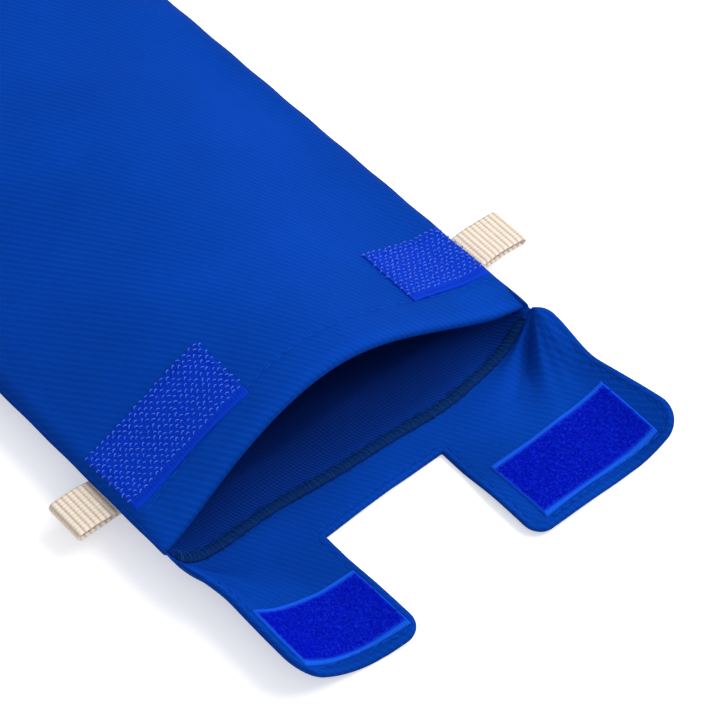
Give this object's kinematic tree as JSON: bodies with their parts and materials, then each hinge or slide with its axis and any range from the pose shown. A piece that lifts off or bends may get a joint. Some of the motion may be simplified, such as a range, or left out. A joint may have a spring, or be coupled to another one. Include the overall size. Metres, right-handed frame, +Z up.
{
  "type": "cryogenic mitt",
  "caption": "Straight quilted cold-handling mitt in blue twill, open at the wrist, with a folding tongue whose two flaps close on the back with hook-and-loop tape.",
  "frame": {"origin": "on the flat underside, in the middle of the mouth", "axes": "+Y from the mouth to the closed finger end, +X to the right seen from the mouth, +Z up out of the back of the hand"},
  "size_m": [0.1406, 0.2785, 0.0328],
  "materials": {
    "twill": "royal blue cotton twill, matt",
    "lining": "dark navy woven lining, matt",
    "insulation": "off-white needled batting",
    "hook_tape": "blue nylon hook tape",
    "loop_tape": "ultramarine brushed nylon loop tape",
    "webbing": "cream ribbed webbing",
    "thread": "blue sewing thread",
    "overlock_thread": "pale grey-blue serging thread"
  },
  "bodies": {
    "mitt": {"palm_shell": "twill", "back_shell": "twill", "palm_insulation": "insulation", "back_insulation": "insulation", "palm_lining": "lining", "back_lining": "lining", "mouth_hem_facing": "twill", "hem_stitching": "thread", "lining_overlock": "overlock_thread", "seam_allowance": "twill", "left_hook_tape": "hook_tape", "right_hook_tape": "hook_tape", "left_hook_stitching": "thread", "right_hook_stitching": "thread", "left_webbing_tail": "webbing", "right_webbing_tail": "webbing"},
    "tongue": {"tongue_shell": "twill", "tongue_facing": "twill", "throat_topstitch": "thread"},
    "left_flap": {"left_flap_shell": "twill", "left_flap_facing": "twill", "left_loop_tape": "loop_tape", "left_loop_stitching": "thread", "left_flap_topstitch": "thread"},
    "right_flap": {"right_flap_shell": "twill", "right_flap_facing": "twill", "right_loop_tape": "loop_tape", "right_loop_stitching": "thread", "right_flap_topstitch": "thread"},
    "left_webbing": {"left_webbing_loop": "webbing"},
    "right_webbing": {"right_webbing_loop": "webbing"}
  },
  "joints": [
    {"name": "tongue_fold", "type": "hinge", "parent": "mitt", "child": "tongue", "pos_m": [0, -0.002, 0.0024], "axis": [-1, 0, 0], "range_deg": [0, 90], "deforming": ["back_shell", "back_insulation", "back_lining", "mouth_hem_facing", "hem_stitching", "left_hook_tape", "right_hook_tape", "left_hook_stitching", "right_hook_stitching"]},
    {"name": "left_flap_fold", "type": "hinge", "parent": "tongue", "child": "left_flap", "pos_m": [-0.04, -0.0175, 0.0024], "axis": [-1, 0, 0], "range_deg": [0, 90]},
    {"name": "right_flap_fold", "type": "hinge", "parent": "tongue", "child": "right_flap", "pos_m": [0.04, -0.0175, 0.0024], "axis": [-1, 0, 0], "range_deg": [0, 90]},
    {"name": "left_webbing_swing", "type": "hinge", "parent": "mitt", "child": "left_webbing", "pos_m": [-0.0583, 0.024, 0.008], "axis": [0, -1, 0], "range_deg": [-36, 0]},
    {"name": "right_webbing_swing", "type": "hinge", "parent": "mitt", "child": "right_webbing", "pos_m": [0.0583, 0.024, 0.008], "axis": [0, 1, 0], "range_deg": [-36, 0]}
  ]
}
